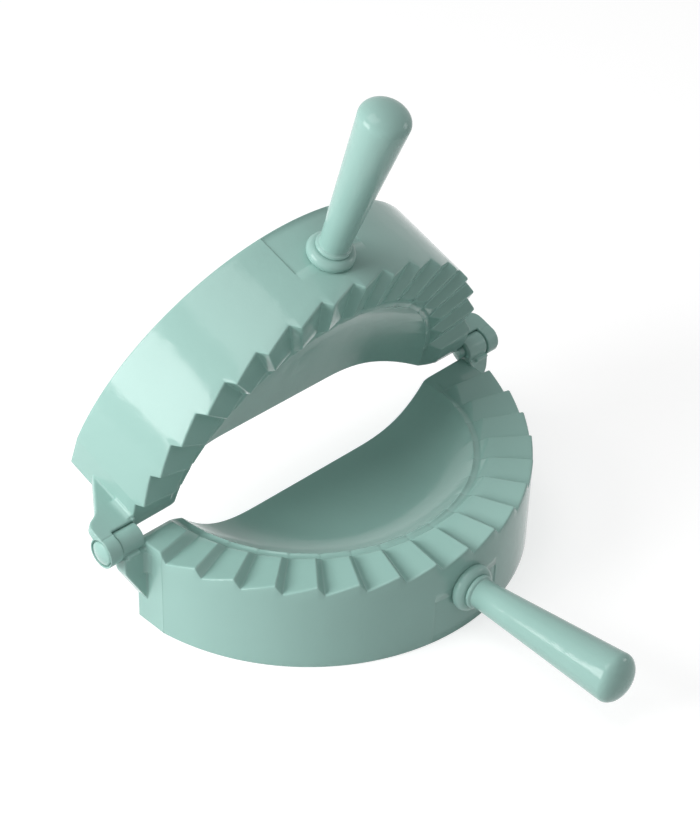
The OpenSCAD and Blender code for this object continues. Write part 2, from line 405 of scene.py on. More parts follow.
@dataclass(frozen=True)
class Station:
    """A point of the moulding's profile.

    The normal points out of the profile, and the inset is the distance by which
    the point's straight side is drawn in.
    """

    radius: float
    height: float
    normal: Point = (0.0, 1.0)
    inset: float = 0.0


@dataclass
class Moulding:
    """The D-shaped moulding of a half: teeth, bowl, walls and hollow underside."""

    size: BodySizes = field(default_factory=BodySizes)
    soft: Softness = field(default_factory=Softness)
    lines: Spacing = field(default_factory=Spacing)

    def __post_init__(self) -> None:
        """Make the crimp and the columns that the grids share."""
        self.crimp = Crimp(self.size, self.soft)
        self.columns = self.make_columns()

    def chord_columns(self) -> list[Column]:
        """Return the columns that round the edge of the straight side, at -X."""
        soft, turns = self.soft.chord, quarter(self.lines.arc_steps)
        made = [Column(0.0, sink=soft + self.lines.band)]
        made += [Column(0.0, inset=soft * (1 - cos), sink=soft * (1 - sin)) for sin, cos in turns]
        return made + [Column(math.radians(angle), inset=inset) for angle, inset in self.lines.spacers]

    def corner_shift(self, valley: float, side: Side) -> float:
        """Return how far an end face's corner lies from a valley, at the outer wall.

        Args:
            valley: Angle of the valley.
            side: Side of the end face.

        Returns:
            The shift in millimetres, in the direction of growing angles.
        """
        corner = math.acos(self.size.end_x / self.size.rim_r)
        if side is Side.RIGHT:
            corner = math.pi - corner
        return self.size.rim_r * math.sin(corner - valley)

    def make_columns(self) -> list[Column]:
        """Make the mesh columns from the -X end to the +X end.

        Returns:
            Columns in the order of their angles: the straight side's edge, the
            corner of the end face, and each tooth's steep side and long slope.
        """
        crimp, start, lines = self.crimp, self.chord_columns(), self.lines
        valleys, crest, edge = crimp.valleys(), crimp.crest_angle(), lines.edge_offsets
        near = self.corner_shift(valleys[0], Side.LEFT)
        far = self.corner_shift(valleys[-1], Side.RIGHT)
        steep = (crimp.pitch - crest) / 2
        first = math.asin(edge[-1] / self.size.rim_r)
        beads, far_beads = (
            [self.size.bead_w * s for s in shares] for shares in (lines.bead_shares, lines.far_bead_shares)
        )
        middle = [Column(valleys[0], s - self.size.tooth_drop_w) for s in edge[:-2]]
        middle += [Column(valleys[0], near + s) for s in beads]
        middle.append(Column(valleys[0], (near + edge[0]) / 2))
        for index, valley in enumerate(valleys[:-1]):
            if index > 0:
                middle.append(Column(valley - steep))
            middle += [Column(valley, s) for s in edge]
            middle += [Column(valley + a) for a in spaced(first, crest - first, lines.slope_shares)]
            middle += [Column(valley + crest, s) for s in edge]
        middle.append(Column(valleys[-1] - steep))
        middle += [Column(valleys[-1], far + s) for s in (*beads, *far_beads)]
        middle.append(Column(mix(valleys[-1], math.pi - start[-1].angle, lines.far_land_share)))
        widths = [start[-1].inset + lines.column_step * (i + 1) for i in range(len(middle))]
        middle = [replace(c, inset=min(*pair)) for c, *pair in zip(middle, widths, reversed(widths))]
        end = [Column(math.pi - c.angle, -c.shift, c.inset, c.sink) for c in reversed(start)]
        return start + middle + end

    def outline(self, column: Column, inset: float) -> float:
        """Find where a column meets the outline drawn in by an inset.

        Args:
            column: The column.
            inset: Distance from the outer wall. At zero the outline carries the
                faint bead along the corner of the -X end face.

        Returns:
            The radius.
        """
        rim_r, end_x = self.size.rim_r - inset, self.size.end_x - inset
        angle = column.angle_at(rim_r, self.size.foot_r)
        near = self.size.chord_gap + inset + column.inset
        y = max(rim_r * math.sin(angle), near)
        bead = 0.0
        if inset == 0.0:
            off = rim_r * (angle - math.acos(end_x / rim_r))
            bead = self.size.bead * max(1 - abs(off) / self.size.bead_w, 0.0)
        if math.sqrt(rim_r**2 - y**2) > end_x:
            return math.hypot(end_x, max(end_x * abs(math.tan(angle)), near)) + bead
        return rim_r + bead

    def bowl(self, radius: float) -> float:
        """Return the height of the bowl's side, carried on past the ridge.

        Args:
            radius: Distance from the middle of the press.

        Returns:
            The height from the meeting plane.
        """
        size = self.size
        share = max(radius - size.bowl_flat_r, 0.0) / (size.ridge_r - size.bowl_flat_r)
        return -size.ridge_z - (size.bowl_depth - size.ridge_z) * (1 - share**size.bowl_power)

    def floor(self, radius: float, angle: float) -> float:
        """Return the height of the teeth, groove, ridge or bowl at a point.

        The groove runs out towards the straight side, where a slope fills it.

        Args:
            radius: Distance from the middle of the press.
            angle: Angle of the point.

        Returns:
            The height from the meeting plane.
        """
        size, soft = self.size, self.soft
        foot = -size.ridge_z - size.groove_h
        side = foot + (size.groove_r - radius) * size.groove_h / (size.groove_w / 2)
        cone = foot + (radius - size.foot_r) * -foot / size.tooth_h
        fill = -size.ridge_z + (radius - size.ridge_r) * size.fill_slope
        fill -= max(radius * math.sin(angle) - size.fill_w, 0.0) * size.fill_fall
        groove = smooth_max(smooth_max(foot, side, soft.groove), cone, soft.groove)
        inner = smooth_min(smooth_max(groove, fill, soft.groove), self.bowl(radius), soft.ridge)
        return smooth_min(inner, self.crimp.height(radius, angle), soft.tooth_end)

    def tooth_end_r(self, column: Column) -> float:
        """Find where a column crosses the inner end of its tooth.

        Args:
            column: The column.

        Returns:
            The radius, kept clear of the foot of the teeth.
        """
        size = self.size

        def inside(radius: float) -> bool:
            """Return whether the tooth's top is still above its inner end."""
            angle = column.angle_at(radius, size.foot_r)
            return self.crimp.height(radius, angle) > radius - size.bowl_r

        crossing = last_place(size.foot_r, size.bowl_r, inside)
        return max(crossing, size.foot_r + self.soft.tooth_end)

    def floor_station(self, column: Column, radius: float) -> Station:
        """Return the station of the floor at a radius."""
        return Station(radius, self.floor(radius, column.angle_at(radius, self.size.foot_r)))

    def pad(self, column: Column, height: float) -> float:
        """Return how far the outer wall is sunk, in the pad under the handle.

        Args:
            column: The column.
            height: Height on the wall.

        Returns:
            The depth of the pad, or zero outside it.
        """
        size = self.size
        across = abs(size.rim_r * math.cos(column.angle_at(size.rim_r, size.foot_r)))
        return size.pad_sink if across < size.pad_half_w and height < -size.handle_drop else 0.0

    def outer_profile(self, column: Column) -> list[Station]:
        """Make the profile of the outer skin.

        Args:
            column: The column on which it lies.

        Returns:
            Stations from the open edge, up the wall and in to the middle.
        """
        size, soft, lines = self.size, self.soft, self.lines
        edge, foot, turns = soft.rim, soft.foot, quarter(lines.arc_steps)
        rim = self.outline(column, 0.0)
        top = self.floor(rim, column.angle_at(rim, size.foot_r)) - edge
        low = foot - size.depth
        made = [Station(rim - foot - lines.band, -size.depth, (0.0, -1.0))]
        made += [Station(rim - foot * (1 - sin), low - foot * cos, (sin, -cos)) for sin, cos in turns[:-1]]
        pad_top = -size.handle_drop
        levels = spaced(low, pad_top, lines.skirt_shares)
        levels += [pad_top + step for step in (-lines.edge_offsets[-1], -lines.band, lines.band)]
        levels += [pad_top / divisor for divisor in lines.wall_divisors]
        levels += spaced(levels[-1], top, lines.half_shares)
        made += [Station(rim - self.pad(column, height), height, OUTWARD) for height in levels]
        for sin, cos in turns[1:]:
            radius = rim - edge * (1 - cos)
            level = self.floor(radius, column.angle_at(radius, size.foot_r))
            made.append(Station(radius, level - edge * (1 - sin), (cos, sin)))
        end_r = self.tooth_end_r(column)
        inner = end_r + soft.tooth_end
        radii = spaced(rim - edge, inner, lines.crimp_shares)
        radii += spaced(inner, end_r, lines.half_shares)
        radii += spaced(end_r, size.foot_r, lines.foot_shares)
        radii += spaced(size.foot_r, size.groove_r, lines.groove_shares)
        radii += [size.ridge_r + share * soft.ridge for share in lines.ridge_shares]
        radii += spaced(radii[-1], size.bowl_flat_r, even(lines.bowl_steps))
        radii += spaced(size.bowl_flat_r, lines.middle_r, lines.half_shares)
        return made + [self.floor_station(column, radius) for radius in radii]

    def under(self, radius: float) -> float:
        """Return the height of the underside of the floor.

        Args:
            radius: Distance from the middle of the press.

        Returns:
            The height from the meeting plane.
        """
        size = self.size
        share = max(radius - size.bowl_flat_r, 0.0) / (size.ridge_r + size.skin - size.bowl_flat_r)
        matching = size.bowl_flat_r + (size.ridge_r - size.bowl_flat_r) * share
        return smooth_min(size.ceiling, self.bowl(matching) - size.skin, self.soft.inside)

    def inner_profile(self, column: Column) -> list[Station]:
        """Make the profile of the hollow's skin.

        Args:
            column: The column on which it lies.

        Returns:
            Stations from the open edge, up the wall and in to the middle.
        """
        size, lines, turn_r, foot = self.size, self.lines, self.soft.inside, self.soft.foot
        wall, turns = self.size.wall, quarter(self.lines.arc_steps)
        rim = self.outline(column, wall)
        top, low, flat = size.ceiling - turn_r, foot - size.depth, foot + lines.band
        made = [Station(rim + flat, -size.depth, OUTWARD, wall - flat)]
        for sin, cos in turns[:-1]:
            flare = foot * (1 - sin)
            made.append(Station(rim + flare, low - foot * cos, OUTWARD, wall - flare))
        levels = spaced(low, top, lines.hollow_shares)
        made += [Station(rim, height, OUTWARD, wall) for height in levels]
        for sin, cos in turns[1:]:
            made.append(Station(rim - turn_r * (1 - cos), top + turn_r * sin, (cos, sin), wall))
        radii = spaced(rim - turn_r, size.bowl_flat_r, even(lines.under_steps))
        radii += spaced(size.bowl_flat_r, lines.middle_r, lines.half_shares)
        return made + [Station(radius, self.under(radius), inset=wall) for radius in radii]

    def place(self, column: Column, station: Station) -> Vector:
        """Place a station on a column.

        Args:
            column: The column.
            station: The station.

        Returns:
            The point in the half's frame.
        """
        radius = station.radius - column.sink * station.normal[0]
        height = station.height - column.sink * station.normal[1]
        angle = column.angle_at(station.radius, self.size.foot_r)
        y = max(radius * math.sin(angle), self.size.chord_gap + station.inset + column.inset)
        x = math.copysign(math.sqrt(max(radius**2 - y**2, 0.0)), -math.cos(angle))
        return Vector((x, -y, height))

    def skin(self, profiles: list[list[Station]], round_foot: bool) -> Mesh:
        """Make a skin that is open only at its foot.

        Args:
            profiles: Stations of each column, from the foot to the middle.
            round_foot: Whether the straight side's foot is rounded too.

        Returns:
            The grid of the columns, closed at the middle and the straight side.
        """
        rows = len(profiles[0])
        bm = bmesh.new()
        bmesh.ops.create_grid(bm, x_segments=len(profiles) - 1, y_segments=rows - 1, size=1.0)
        ordered = sorted(bm.verts, key=lambda v: (round(v.co.x, DIGITS), round(v.co.y, DIGITS)))
        grid = [ordered[i:i + rows] for i in range(0, len(ordered), rows)]
        for column, profile, line in zip(self.columns, profiles, grid):
            for station, vert in zip(profile, line):
                vert.co = self.place(column, station)
        count = len(self.chord_columns())
        middle = [line[-1] for line in grid]
        foot = [line[0] for line in grid]
        self.join_ends(bm, middle, count)
        top = bm.edges.get((middle[0], middle[-1]))
        inner = bm.edges.get((middle[count - 1], middle[-count]))
        bmesh.ops.contextual_create(bm, geom=[*chain(middle[count - 1:1 - count]), inner])
        if round_foot:
            self.join_ends(bm, foot, count - len(self.lines.spacers))
            bottom = bm.edges.get((foot[0], foot[-1]))
        else:
            bottom = bm.edges.new((foot[0], foot[-1]))
        bmesh.ops.contextual_create(bm, geom=[*chain(grid[0]), *chain(grid[-1]), top, bottom])
        return bm

    def join_ends(self, bm: Mesh, row: list[bmesh.types.BMVert], count: int) -> None:
        """Bridge the first columns of a row to its last ones, across the straight side."""
        bmesh.ops.bridge_loops(bm, edges=[*chain(row[:count]), *chain(row[-count:])])

    def build(self) -> Mesh:
        """Return the closed mesh of the moulding, in the half's own frame."""
        outer = self.skin([self.outer_profile(c) for c in self.columns], True)
        inner = self.skin([self.inner_profile(c) for c in self.columns], False)
        bm = joined([outer, inner])
        loop = [e for e in bm.edges if e.is_boundary]
        bmesh.ops.triangle_fill(bm, use_beauty=True, use_dissolve=False, edges=loop, normal=(0, 0, -1))
        bmesh.ops.recalc_face_normals(bm, faces=bm.faces[:])
        return bm


def chain(line: list[bmesh.types.BMVert]) -> list[bmesh.types.BMEdge]:
    """Return the edges that join the vertices of a line, in their order."""
    return [next(e for e in a.link_edges if e.other_vert(a) is b) for a, b in zip(line, line[1:])]


def joined(parts: list[Mesh]) -> Mesh:
    """Put meshes together in one.

    Args:
        parts: The meshes, which are freed.

    Returns:
        The mesh that holds them all, not merged.
    """
    bm = bmesh.new()
    for part in parts:
        keep = bpy.data.meshes.new("part")
        part.to_mesh(keep)
        part.free()
        bm.from_mesh(keep)
        bpy.data.meshes.remove(keep)
    return bm


def dress(bm: Mesh, name: str, place: Matrix, material: Material) -> bpy.types.Object:
    """Turn a mesh in a half's frame into a smooth object at the model's origin.

    Args:
        bm: The mesh, which is freed.
        name: Name of the piece.
        place: Matrix from the mesh's frame to the model's frame.
        material: Finish of the piece.

    Returns:
        The object.
    """
    bmesh.ops.transform(bm, matrix=place, verts=bm.verts[:])
    if place.determinant() < 0:
        bmesh.ops.reverse_faces(bm, faces=bm.faces[:])
    mesh = bpy.data.meshes.new(name)
    bm.to_mesh(mesh)
    bm.free()
    mesh.polygons.foreach_set("use_smooth", [True] * len(mesh.polygons))
    mesh.materials.append(material)
    made = bpy.data.objects.new(name, mesh)
    bpy.context.scene.collection.objects.link(made)
    return made


def hand_over(piece: bpy.types.Object, half: Half, slot: str, *nodes: str) -> None:
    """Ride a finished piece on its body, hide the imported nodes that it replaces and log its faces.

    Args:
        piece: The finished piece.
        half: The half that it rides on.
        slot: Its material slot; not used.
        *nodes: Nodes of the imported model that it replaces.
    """
    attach(piece, half.value)
    if nodes:
        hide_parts(*nodes)
    LOG.info("%s: %d faces", piece.name, len(piece.data.polygons))


def lathe(outline: list[Point]) -> Mesh:
    """Spin an outline round the Z axis.

    Args:
        outline: Radii and heights, from one end to the other; a closed outline
            repeats its first point at the end.

    Returns:
        The closed mesh.
    """
    bm = bmesh.new()
    verts = [bm.verts.new((radius, 0.0, height)) for radius, height in outline]
    edges = [bm.edges.new(pair) for pair in zip(verts, verts[1:])]
    bmesh.ops.spin(
        bm, geom=[*verts, *edges], cent=(0, 0, 0), axis=(0, 0, 1), angle=2 * math.pi,
        steps=ROUND_STEPS, use_merge=True, use_duplicate=False,
    )
    bmesh.ops.remove_doubles(bm, verts=bm.verts[:], dist=WELD)
    bmesh.ops.recalc_face_normals(bm, faces=bm.faces[:])
    return bm


def extruded(outline: Iterable[Spot], move: Spot) -> Mesh:
    """Sweep a flat outline along a straight line.

    Args:
        outline: Corners of the outline, in order.
        move: How far it is swept.

    Returns:
        The closed mesh.
    """
    bm = bmesh.new()
    face = bm.faces.new([bm.verts.new(point) for point in outline])
    grown = bmesh.ops.extrude_face_region(bm, geom=[face])
    moved = [v for v in grown["geom"] if isinstance(v, bmesh.types.BMVert)]
    bmesh.ops.translate(bm, verts=moved, vec=move)
    bmesh.ops.recalc_face_normals(bm, faces=bm.faces[:])
    return bm


@dataclass(frozen=True)
class GripSizes:
    """Sizes of a handle, its collar and its screw, in millimetres along the handle."""

    length: float = 69.3
    foot_r: float = 4.8
    end_r: float = 8.9
    round_l: float = 5.2
    bead_r: float = 5.3
    bead_t: float = 1.8
    bead_foot_power: float = 5.0
    bead_top_power: float = 2.0
    bead_sink_share: float = 0.5
    bead_blend: float = 0.9
    spigot_r: float = 3.5
    spigot_l: float = 3.6
    collar_r: float = 8.6
    collar_t: float = 5.0
    collar_top: float = 4.0
    screw_r: float = 1.75
    seat_r: float = 5.5
    seat_z: float = -4.0
    edge: float = 0.3
    play: float = 0.04
    bead_foot_shares: tuple[float, ...] = (0.0, 0.01, 0.03, 0.06, 0.1, 0.17, 0.25)
    rings: tuple[float, ...] = (0.15, 0.35, 0.7, 1.5, 4.0, 10.0, 20.0, 32.0, 44.0, 54.0)
    bead_steps: int = 12
    end_steps: int = 14
    collar_steps: int = 30


@dataclass
class Grip:
    """A handle with its bead and spigot, and the collar that it plugs into."""

    body: BodySizes = field(default_factory=BodySizes)
    size: GripSizes = field(default_factory=GripSizes)

    def place(self) -> Matrix:
        """Return the matrix from the handle's frame to the moulding's frame."""
        lean = math.radians(90 - self.body.handle_tilt)
        root = Matrix.Translation((0, -self.body.rim_r, -self.body.handle_drop))
        return root @ Matrix.Rotation(lean, 4, "X")

    def radius(self, height: float) -> float:
        """Return the grip's radius, with the bead blended in.

        Args:
            height: Height along the handle.

        Returns:
            The radius.
        """
        size = self.size
        slope = (size.end_r - size.foot_r) / (size.length - size.round_l)
        body = size.foot_r + slope * height
        tube = size.bead_t / 2
        off = (height - size.collar_top) / tube - 1
        power = size.bead_top_power if off > 0 else size.bead_foot_power
        swell = max(1 - min(abs(off), 1.0) ** power, 0.0) ** (1 / power)
        bead = size.bead_r - tube * size.bead_sink_share + swell * tube * (1 + size.bead_sink_share)
        return smooth_max(body, bead, size.bead_blend)

    def handle(self) -> Mesh:
        """Return the mesh of the handle."""
        size, edge, foot = self.size, self.size.edge, self.size.bead_foot_shares
        root = size.collar_top - size.spigot_l
        grip_l = size.length - size.round_l
        outline = [(0.0, root), (size.spigot_r - edge, root), (size.spigot_r, root + edge)]
        outline += [(size.spigot_r, size.collar_top - edge), (size.spigot_r, size.collar_top)]
        shares = [*foot, *spaced(foot[-1], 1.0, even(size.bead_steps))]
        levels = [size.collar_top + size.bead_t * share for share in shares]
        levels += [size.collar_top + size.bead_t + ring for ring in size.rings]
        outline += [(self.radius(level), level) for level in levels]
        turns = quarter(size.end_steps)
        outline += [(size.end_r * cos, grip_l + size.round_l * sin) for sin, cos in turns]
        return lathe(outline)

    def collar(self) -> Mesh:
        """Return the mesh of the collar, from the seat inside the wall to its ring."""
        size, tube = self.size, self.size.collar_t / 2
        middle = (size.collar_r - tube, size.collar_top - tube)
        seat = size.collar_top - size.bead_t / 2
        floor = size.collar_top - size.spigot_l - size.play
        inside = math.pi - math.asin((seat - middle[1]) / tube)
        shares = (0.0, *even(size.collar_steps))
        turns = spaced(-math.pi / 2, inside, shares)
        outline = [(middle[0] + tube * math.cos(t), middle[1] + tube * math.sin(t)) for t in turns]
        outline += [(size.spigot_r + size.play, level) for level in (seat, floor)]
        outline += [(size.screw_r + size.play, level) for level in (floor, size.seat_z)]
        outline += [(size.seat_r - size.edge, size.seat_z), (size.seat_r, size.seat_z + size.edge)]
        outline += [(size.seat_r, -self.body.wall / 2), (middle[0], middle[1] - tube)]
        return lathe(outline)


def rounded(outline: list[tuple[float, ...]], steps: int = 8) -> list[Point]:
    """Return an outline with its marked corners rounded.

    Args:
        outline: Corners in order; a third number is the length of each side that
            the corner's curve takes.
        steps: Steps of a curve.

    Returns:
        The points of the rounded outline.
    """
    made = []
    for before, corner, after in zip([outline[-1], *outline], outline, [*outline[1:], outline[0]]):
        if len(corner) == 2:
            made.append(corner)
            continue
        tip = Vector(corner[:2])
        start, end = (tip + (Vector(side[:2]) - tip).normalized() * corner[2] for side in (before, after))
        for share in (0.0, *even(steps)):
            made.append(tuple(start.lerp(tip, share).lerp(tip.lerp(end, share), share)))
    return made


@dataclass(frozen=True)
class HingeSizes:
    """Sizes of the hinge, in millimetres."""

    lower_knuckle_r: float = 4.9
    upper_knuckle_r: float = 5.5
    lower_end: float = 88.0
    upper_start: float = 88.3
    upper_end: float = 93.6
    recess_h: float = 1.2
    pin_r: float = 2.2
    head_r: float = 4.4
    head_rim: float = 0.9
    dome_h: float = 1.2
    tail_l: float = 2.2
    tail_edge: float = 0.3
    head_edge: float = 0.15
    rim_edge: tuple[Point, ...] = ((0.0, 0.3), (0.06, 0.1))
    head_play: float = 0.5
    pass_play: float = 0.35
    play: float = 0.08
    upper_web_t: float = 3.2
    upper_web_h: float = 24.5
    upper_brace_h: float = 11.0
    upper_ear_h: float = 9.0
    upper_web_foot: float = 2.8
    lower_web_t: float = 5.2
    lower_web_h: float = 25.0
    lower_web_edge_h: float = 9.0
    rib_r: float = 0.8
    rib_l: float = 5.8
    block_h: float = 8.6
    block_foot: float = 3.8
    upper_block: Point = (3.2, 1.8)
    lower_block: Point = (1.6, 3.0)
    root: float = 1.5
    fillet: float = 0.7
    web_cut: float = 2.0
    ear_cut: float = 3.2
    brace_cut: float = 2.4
    voxel: float = 0.24
    smoothing: int = 8
    smooth_factor: float = 0.5
    block_steps: int = 6
    dome_steps: int = 16


@dataclass
class Hinge:
    """Knuckles, webs and pins, drawn for the side at +X."""

    body: BodySizes = field(default_factory=BodySizes)
    size: HingeSizes = field(default_factory=HingeSizes)

    def bar(self, radius: float, start: float, end: float, at: Point = (0.0, 0.0)) -> Mesh:
        """Make a cylinder along X.

        Args:
            radius: Its radius.
            start: X of its first end.
            end: X of its last end.
            at: Y and Z of its axis.

        Returns:
            The closed mesh.
        """
        bm = bmesh.new()
        turn = Matrix.Translation(((start + end) / 2, *at)) @ Matrix.Rotation(math.pi / 2, 4, "Y")
        bmesh.ops.create_cone(
            bm, cap_ends=True, segments=ROUND_STEPS, radius1=radius, radius2=radius,
            depth=end - start, matrix=turn,
        )
        return bm

    def slab(self, outline: list[tuple[float, ...]], thickness: float) -> Mesh:
        """Make a plate back from the webs' front face.

        Args:
            outline: Corners in X and Z, with how much of its sides each round one takes.
            thickness: Thickness of the plate.

        Returns:
            The closed mesh.
        """
        front = -self.size.upper_knuckle_r
        return extruded([(x, front, z) for x, z in rounded(outline)], (0, thickness, 0))

    def block(self, width: float, depth: float, up: int) -> Mesh:
        """Make the wedge that fills the corner between a web and the end face.

        Args:
            width: How far it reaches out from the end face.
            depth: How far it reaches forward from the web.
            up: 1 where the bracket stands above the hinge axis, -1 below it.

        Returns:
            The closed mesh.
        """
        size, end_x, front = self.size, self.body.end_x, -self.size.upper_knuckle_r
        inside, tip, back = end_x - size.root, end_x + width, front + size.root
        turns = quarter(size.block_steps)[1:-1]
        plan = [(inside, front - depth), (end_x, front - depth)]
        plan += [(end_x + width * (1 - cos), front - depth * (1 - sin)) for sin, cos in turns]
        plan += [(tip, front), (tip, back), (inside, back)]
        return extruded([(x, y, size.block_foot * up) for x, y in plan], (0, 0, size.block_h * up))

    def melt(self, solids: list[Mesh], cuts: list[Mesh]) -> Mesh:
        """Unite solids, cut others out of them and soften every edge.

        Args:
            solids: Closed meshes that overlap, which are freed.
            cuts: Closed meshes to take away, which are freed.

        Returns:
            One closed mesh with soft edges.
        """
        objects = []
        for parts in (solids, cuts):
            mesh, bm = bpy.data.meshes.new("melt"), joined(parts)
            bm.to_mesh(mesh)
            bm.free()
            objects.append(bpy.data.objects.new("melt", mesh))
            bpy.context.scene.collection.objects.link(objects[-1])
        work, cutter = objects
        for step in ("unite", "cut", "soften", "smooth"):
            if step == "cut":
                modifier = work.modifiers.new(step, "BOOLEAN")
                modifier.operation, modifier.object, modifier.solver = "DIFFERENCE", cutter, "EXACT"
                modifier.use_self = True
            elif step == "smooth":
                modifier = work.modifiers.new(step, "SMOOTH")
                modifier.factor, modifier.iterations = self.size.smooth_factor, self.size.smoothing
            else:
                modifier = work.modifiers.new(step, "REMESH")
                modifier.mode, modifier.voxel_size = "VOXEL", self.size.voxel
        graph = bpy.context.evaluated_depsgraph_get()
        bm = bmesh.new()
        bm.from_object(work, graph)
        for made in objects:
            mesh = made.data
            bpy.data.objects.remove(made)
            bpy.data.meshes.remove(mesh)
        return bm

    def lower(self) -> Mesh:
        """Return the lower half's knuckle, web, rib and corner block."""
        size, end_x, root = self.size, self.body.end_x, self.body.end_x - self.size.root
        top, bore = size.lower_knuckle_r / 2, size.pin_r + size.play
        web = [(root, -top), (size.lower_end, -top)]
        web += [(size.lower_end, -size.lower_web_edge_h, size.web_cut)]
        web += [(end_x, -size.lower_web_h), (root, -size.lower_web_h)]
        rib_end = size.lower_end - size.rib_r
        solids = [
            self.bar(size.lower_knuckle_r, root, size.lower_end),
            self.slab(web, size.lower_web_t),
            self.block(*size.lower_block, -1),
            self.bar(size.rib_r, rib_end - size.rib_l, rib_end, (-size.upper_knuckle_r, -top)),
        ]
        bm = self.melt(solids, [self.bar(bore, root - size.root, size.lower_end + size.root)])
        soft = 2 * size.voxel
        self.true_up(bm, [(r, end_x, size.lower_end - soft) for r in (size.lower_knuckle_r, bore)])
        return self.seat(bm, -1)

    def upper(self) -> Mesh:
        """Return the upper half's knuckle, web and corner block."""
        size, end_x, root = self.size, self.body.end_x, self.body.end_x - self.size.root
        passing, bore = size.lower_knuckle_r + size.pass_play, size.pin_r + size.play
        recess, recess_r = size.upper_end - size.recess_h, size.head_r + size.head_play
        web = [(root, size.upper_web_foot), (size.upper_start, size.upper_web_foot)]
        web += [(size.upper_start, 0.0), (size.upper_end, 0.0)]
        web += [(size.upper_end, size.upper_ear_h, size.ear_cut)]
        web += [(size.upper_start, size.upper_brace_h, size.brace_cut)]
        web += [(end_x, size.upper_web_h), (root, size.upper_web_h)]
        solids = [
            self.bar(size.upper_knuckle_r, size.upper_start, size.upper_end),
            self.slab(web, size.upper_web_t),
            self.block(*size.upper_block, 1),
        ]
        cuts = [
            self.bar(passing, root - size.root, size.upper_start),
            self.bar(bore, end_x, size.upper_end + size.root),
            self.bar(recess_r, recess, size.upper_end + size.root),
        ]
        bm, soft = self.melt(solids, cuts), 2 * size.voxel
        bores = [
            (size.upper_knuckle_r, size.upper_start + soft, size.upper_end - soft),
            (passing, end_x, size.upper_start - soft),
            (bore, size.upper_start + soft, recess - soft),
            (recess_r, recess + soft, size.upper_end - soft),
        ]
        self.true_up(bm, bores)
        return self.seat(bm, 1)

    def true_up(self, bm: Mesh, bores: list[Spot]) -> None:
        """Bring a melted bracket back to true cylinders round the hinge axis.

        Args:
            bm: The bracket's mesh.
            bores: Radius, start and end in X of each cylinder.
        """
        for vert in bm.verts:
            off = vert.co.yz.length
            for radius, start, end in bores:
                if abs(off - radius) < self.size.voxel and start < vert.co.x < end:
                    vert.co.y *= radius / off
                    vert.co.z *= radius / off
                    break

    def seat(self, bm: Mesh, up: int) -> Mesh:
        """Root a bracket in the end wall and spread its foot into a fillet.

        Args:
            bm: Closed mesh that runs on into the end wall.
            up: 1 where the bracket stands above the hinge axis, -1 below it.

        Returns:
            The same mesh, cut off at the end face and closed again. Where the
            wall stands behind it, its end is sunk into the wall.
        """
        size, end_x = self.size, self.body.end_x
        cut = bmesh.ops.bisect_plane(
            bm, geom=[*bm.verts, *bm.edges, *bm.faces], plane_co=(end_x, 0, 0), plane_no=(1, 0, 0),
            clear_inner=True,
        )
        rim = [e for e in cut["geom_cut"] if isinstance(e, bmesh.types.BMEdge)]
        ends = {v for e in rim for v in e.verts}
        bm.normal_update()
        moves = []
        for vert in bm.verts:
            reach = size.fillet - (vert.co.x - end_x)
            if reach > 0:
                share = 1.0
                for depth in (-vert.co.y, vert.co.z * up):
                    share *= min(max(depth - size.fillet, 0.0), 1.0)
                spread = share * (size.fillet - math.sqrt(max(size.fillet**2 - reach**2, 0.0)))
                sunk = share * size.fillet if vert in ends else 0.0
                moves.append((vert, Vector((-sunk, vert.normal.y * spread, vert.normal.z * spread))))
        for vert, move in moves:
            vert.co += move
        bmesh.ops.triangle_fill(bm, use_beauty=True, use_dissolve=False, edges=rim, normal=(-1, 0, 0))
        return bm

    def pin(self, inner_end: float) -> Mesh:
        """Make a pin with a low domed head, along X.

        Args:
            inner_end: X of the pin's inner end.

        Returns:
            The closed mesh.
        """
        size, tail, edge = self.size, self.size.tail_edge, self.size.head_edge
        seat = size.upper_end - size.recess_h + size.play
        rim = seat + size.head_rim
        outline = [(0.0, inner_end), (size.pin_r - tail, inner_end), (size.pin_r, inner_end + tail)]
        outline += [(size.pin_r, seat), (size.head_r - edge, seat), (size.head_r, seat + edge)]
        outline += [(size.head_r - inset, rim - drop) for inset, drop in size.rim_edge]
        for share in even(size.dome_steps):
            outline.append((size.head_r * (1 - share), rim + size.dome_h * (1 - (1 - share) ** 2)))
        bm = lathe(outline)
        bmesh.ops.transform(bm, matrix=Matrix.Rotation(math.pi / 2, 4, "Y"), verts=bm.verts[:])
        return bm


def tune(node: bpy.types.Node, values: dict[str, float | tuple[float, ...]]) -> bpy.types.Node:
    """Set a node's inputs by their names, and return the node."""
    for name, value in values.items():
        node.inputs[name].default_value = value
    return node


def group_node(tree: Tree, group: Tree, values: dict[str, float]) -> bpy.types.Node:
    """Add a shared group to a tree, with its inputs set, and return its node."""
    made = tree.nodes.new("ShaderNodeGroup")
    made.node_tree = group
    return tune(made, values)


def colour_mix(tree: Tree, first: Spot, last: Spot) -> bpy.types.Node:
    """Add a node to a tree that mixes two colours, and return it."""
    made = tree.nodes.new("ShaderNodeMix")
    made.data_type = "RGBA"
    return tune(made, {"A": (*first, 1), "B": (*last, 1)})


